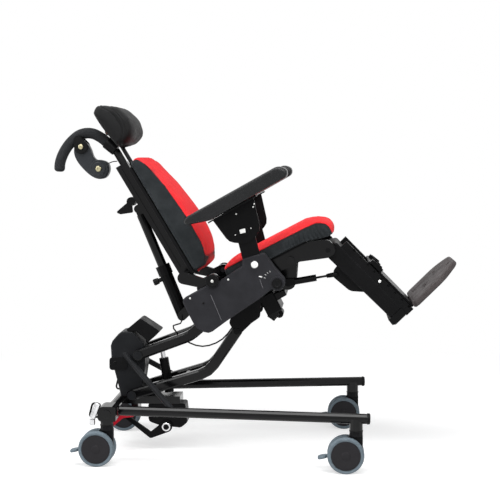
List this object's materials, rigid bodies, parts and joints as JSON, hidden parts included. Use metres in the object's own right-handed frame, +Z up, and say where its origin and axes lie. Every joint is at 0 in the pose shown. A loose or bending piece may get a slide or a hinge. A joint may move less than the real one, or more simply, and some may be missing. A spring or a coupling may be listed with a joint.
{
  "type": "pediatric activity chair",
  "caption": "tilting and reclining seat with headrest, armrests, legrest and footboard, on a lifting arm base with braked casters",
  "frame": {"origin": "on the floor, under the middle of the whole chair", "axes": "+X towards the sitter's toes, +Y to the sitter's left, +Z up"},
  "size_m": [1.1603, 0.597, 1.008],
  "materials": {
    "gloss_black": "gloss black enamel",
    "satin_black": "satin black coating",
    "cast_black": "fine-grained black plastic",
    "panel_grey": "fine-grained dark grey plastic",
    "tyre_grey": "grey-blue tread on dark discs",
    "red_cover": "red cover with charcoal sides",
    "pad_black": "black soft pad",
    "arm_black": "black moulded foam skin",
    "foot_grey": "brown-grey moulded board",
    "bright_steel": "bright rod",
    "red_pedal": "red moulded pedal",
    "black_alloy": "gloss black powder coat"
  },
  "bodies": {
    "base": {"rail_right": "black_alloy", "rail_left": "black_alloy", "base_cradle": "black_alloy", "tower_column": "cast_black", "tower_hood": "cast_black", "pump_body": "black_alloy", "lift_cylinder": "satin_black"},
    "pump_pedal": {"pump_pedal": "satin_black"},
    "release_pedal": {"release_pedal": "red_pedal"},
    "lift_rod": {"lift_rod": "bright_steel"},
    "lower_arms": {"lower_arm_right": "black_alloy", "lower_arm_left": "black_alloy"},
    "upper_arms": {"upper_arm_right": "black_alloy", "upper_arm_left": "black_alloy"},
    "carriage": {"carriage_plate_right": "satin_black", "carriage_plate_left": "satin_black", "carriage_block": "black_alloy", "tilt_axle": "satin_black"},
    "seat": {"seat_frame": "black_alloy", "seat_pan": "black_alloy", "seat_cushion": "red_cover", "side_panel_right": "panel_grey", "side_panel_left": "panel_grey", "release_cable": "cast_black"},
    "back": {"back_frame": "black_alloy", "back_shell": "cast_black", "back_cushion": "red_cover", "handle_tube": "black_alloy", "handle_grip": "arm_black", "lever_cable": "cast_black"},
    "hand_lever": {"hand_lever": "panel_grey"},
    "headrest_stem": {"headrest_stem": "gloss_black"},
    "headrest": {"headrest_pad": "pad_black"},
    "recline_housing": {"recline_housing": "black_alloy"},
    "recline_sleeve": {"recline_sleeve": "black_alloy"},
    "recline_lever": {"recline_lever": "panel_grey"},
    "legrest": {"legrest_frame": "cast_black"},
    "foot_carrier": {"foot_carrier": "black_alloy"},
    "footboard": {"footboard": "foot_grey"},
    "leg_strut_cylinder": {"leg_strut_cylinder": "black_alloy"},
    "leg_strut_rod": {"leg_strut_rod": "bright_steel"},
    "armrest_post_right": {"armrest_post_right": "satin_black"},
    "armrest_right": {"armrest_bracket_right": "satin_black", "armrest_pad_right": "arm_black"},
    "armrest_post_left": {"armrest_post_left": "satin_black"},
    "armrest_left": {"armrest_bracket_left": "satin_black", "armrest_pad_left": "arm_black"},
    "caster_front_right": {"caster_fork_front_right": "panel_grey"},
    "wheels_front_right": {"caster_wheels_front_right": "tyre_grey"},
    "brake_front_right": {"caster_brake_front_right": "panel_grey"},
    "caster_front_left": {"caster_fork_front_left": "panel_grey"},
    "wheels_front_left": {"caster_wheels_front_left": "tyre_grey"},
    "brake_front_left": {"caster_brake_front_left": "panel_grey"},
    "caster_rear_right": {"caster_fork_rear_right": "panel_grey"},
    "wheels_rear_right": {"caster_wheels_rear_right": "tyre_grey"},
    "brake_rear_right": {"caster_brake_rear_right": "panel_grey"},
    "caster_rear_left": {"caster_fork_rear_left": "panel_grey"},
    "wheels_rear_left": {"caster_wheels_rear_left": "tyre_grey"},
    "brake_rear_left": {"caster_brake_rear_left": "panel_grey"}
  },
  "joints": [
    {"name": "lift", "type": "hinge", "parent": "base", "child": "lower_arms", "pos_m": [-0.3492, 0, 0.167], "axis": [0, -1, 0], "range_deg": [-18, 15]},
    {"name": "upper_arm_swing", "type": "hinge", "parent": "base", "child": "upper_arms", "pos_m": [-0.3292, 0, 0.284], "axis": [0, -1, 0], "range_deg": [-19, 16]},
    {"name": "carriage_level", "type": "hinge", "parent": "lower_arms", "child": "carriage", "pos_m": [-0.0412, 0, 0.356], "axis": [0, -1, 0], "range_deg": [-16, 19]},
    {"name": "lift_rod_slide", "type": "slide", "parent": "base", "child": "lift_rod", "axis": [-0.1528, 0, 0.9883], "range_m": [-0.021, 0.018]},
    {"name": "tilt", "type": "hinge", "parent": "carriage", "child": "seat", "pos_m": [0.1058, 0, 0.498], "axis": [0, -1, 0], "range_deg": [-40, 0]},
    {"name": "recline", "type": "hinge", "parent": "seat", "child": "back", "pos_m": [-0.09918, 0, 0.51196], "axis": [0, -1, 0], "range_deg": [-10, 25]},
    {"name": "recline_housing_swing", "type": "hinge", "parent": "seat", "child": "recline_housing", "pos_m": [-0.20521, 0, 0.39296], "axis": [0, -1, 0], "range_deg": [-9, 22]},
    {"name": "recline_sleeve_slide", "type": "slide", "parent": "recline_housing", "child": "recline_sleeve", "axis": [-0.3769, 0, 0.9263], "range_m": [-0.068, 0.028]},
    {"name": "recline_lever_turn", "type": "hinge", "parent": "back", "child": "recline_lever", "pos_m": [-0.34981, 0, 0.72702], "axis": [0, -1, 0], "range_deg": [0, 20], "stiffness_Nm_per_rad": 0.3, "springref_deg": -28.65},
    {"name": "legrest", "type": "hinge", "parent": "seat", "child": "legrest", "pos_m": [0.21979, 0, 0.59301], "axis": [0, -1, 0], "range_deg": [-15, 40]},
    {"name": "leg_strut_swing", "type": "hinge", "parent": "seat", "child": "leg_strut_cylinder", "pos_m": [0.1058, -0.096, 0.498], "axis": [0, -1, 0], "range_deg": [-4, 9]},
    {"name": "leg_strut_slide", "type": "slide", "parent": "leg_strut_cylinder", "child": "leg_strut_rod", "axis": [0.9854, 0, 0.1703], "range_m": [-0.02, 0.056]},
    {"name": "foot_slide", "type": "slide", "parent": "legrest", "child": "foot_carrier", "axis": [0.6997, 0, -0.7145], "range_m": [-0.04, 0.06]},
    {"name": "foot_angle", "type": "hinge", "parent": "foot_carrier", "child": "footboard", "pos_m": [0.4633, 0, 0.44097], "axis": [0, -1, 0], "range_deg": [-30, 20]},
    {"name": "armrest_height_right", "type": "slide", "parent": "seat", "child": "armrest_post_right", "axis": [-0.2419, 0, 0.9703], "range_m": [0, 0.03]},
    {"name": "armrest_angle_right", "type": "hinge", "parent": "armrest_post_right", "child": "armrest_right", "pos_m": [-0.00953, -0.174, 0.64917], "axis": [0, -1, 0], "range_deg": [-20, 30]},
    {"name": "armrest_height_left", "type": "slide", "parent": "seat", "child": "armrest_post_left", "axis": [-0.2419, 0, 0.9703], "range_m": [0, 0.03]},
    {"name": "armrest_angle_left", "type": "hinge", "parent": "armrest_post_left", "child": "armrest_left", "pos_m": [-0.00953, 0.174, 0.64917], "axis": [0, -1, 0], "range_deg": [-20, 30]},
    {"name": "headrest_height", "type": "slide", "parent": "back", "child": "headrest_stem", "axis": [-0.5075, 0, 0.8616], "range_m": [-0.012, 0.06]},
    {"name": "headrest_tilt", "type": "hinge", "parent": "headrest_stem", "child": "headrest", "pos_m": [-0.41292, 0, 0.92834], "axis": [0, -1, 0], "range_deg": [-8, 25]},
    {"name": "hand_lever_squeeze", "type": "hinge", "parent": "back", "child": "hand_lever", "pos_m": [-0.49584, 0, 0.88646], "axis": [0, -1, 0], "range_deg": [-15, 0], "stiffness_Nm_per_rad": 0.5, "springref_deg": 34.38},
    {"name": "pump_stroke", "type": "hinge", "parent": "base", "child": "pump_pedal", "pos_m": [-0.2532, 0, 0.069], "axis": [0, -1, 0], "range_deg": [0, 18], "stiffness_Nm_per_rad": 3, "springref_deg": -28.65},
    {"name": "release_press", "type": "hinge", "parent": "base", "child": "release_pedal", "pos_m": [-0.3472, 0, 0.113], "axis": [0, -1, 0], "range_deg": [0, 15], "stiffness_Nm_per_rad": 1, "springref_deg": -28.65},
    {"name": "swivel_front_right", "type": "hinge", "parent": "base", "child": "caster_front_right", "pos_m": [0.2948, -0.271, 0.1157], "axis": [0, 0, 1], "continuous": true},
    {"name": "roll_front_right", "type": "hinge", "parent": "caster_front_right", "child": "wheels_front_right", "pos_m": [0.2668, -0.271, 0.05], "axis": [0, 1, 0], "continuous": true},
    {"name": "brake_front_right", "type": "hinge", "parent": "caster_front_right", "child": "brake_front_right", "pos_m": [0.24075, -0.271, 0.05], "axis": [0, -1, 0], "range_deg": [0, 10], "stiffness_Nm_per_rad": 0.2, "springref_deg": -17.19},
    {"name": "swivel_front_left", "type": "hinge", "parent": "base", "child": "caster_front_left", "pos_m": [0.2948, 0.271, 0.1157], "axis": [0, 0, 1], "continuous": true},
    {"name": "roll_front_left", "type": "hinge", "parent": "caster_front_left", "child": "wheels_front_left", "pos_m": [0.2668, 0.271, 0.05], "axis": [0, 1, 0], "continuous": true},
    {"name": "brake_front_left", "type": "hinge", "parent": "caster_front_left", "child": "brake_front_left", "pos_m": [0.24075, 0.271, 0.05], "axis": [0, -1, 0], "range_deg": [0, 10], "stiffness_Nm_per_rad": 0.2, "springref_deg": -17.19},
    {"name": "swivel_rear_right", "type": "hinge", "parent": "base", "child": "caster_rear_right", "pos_m": [-0.3942, -0.2215, 0.1157], "axis": [0, 0, 1], "continuous": true},
    {"name": "roll_rear_right", "type": "hinge", "parent": "caster_rear_right", "child": "wheels_rear_right", "pos_m": [-0.4222, -0.2215, 0.05], "axis": [0, 1, 0], "continuous": true},
    {"name": "brake_rear_right", "type": "hinge", "parent": "caster_rear_right", "child": "brake_rear_right", "pos_m": [-0.44825, -0.2215, 0.05], "axis": [0, -1, 0], "range_deg": [0, 10], "stiffness_Nm_per_rad": 0.2, "springref_deg": -17.19},
    {"name": "swivel_rear_left", "type": "hinge", "parent": "base", "child": "caster_rear_left", "pos_m": [-0.3942, 0.2215, 0.1157], "axis": [0, 0, 1], "continuous": true},
    {"name": "roll_rear_left", "type": "hinge", "parent": "caster_rear_left", "child": "wheels_rear_left", "pos_m": [-0.4222, 0.2215, 0.05], "axis": [0, 1, 0], "continuous": true},
    {"name": "brake_rear_left", "type": "hinge", "parent": "caster_rear_left", "child": "brake_rear_left", "pos_m": [-0.44825, 0.2215, 0.05], "axis": [0, -1, 0], "range_deg": [0, 10], "stiffness_Nm_per_rad": 0.2, "springref_deg": -17.19}
  ],
  "couplings": [
    {"joint": "upper_arm_swing", "follows": "lift", "ratio": 1},
    {"joint": "carriage_level", "follows": "lift", "ratio": -1},
    {"joint": "lift_rod_slide", "follows": "lift", "m_per_rad": 0.06127},
    {"joint": "recline_housing_swing", "follows": "recline", "ratio": 0.8381},
    {"joint": "recline_sleeve_slide", "follows": "recline", "m_per_rad": -0.14995},
    {"joint": "leg_strut_swing", "follows": "legrest", "ratio": 0.168},
    {"joint": "leg_strut_slide", "follows": "legrest", "m_per_rad": 0.068}
  ]
}
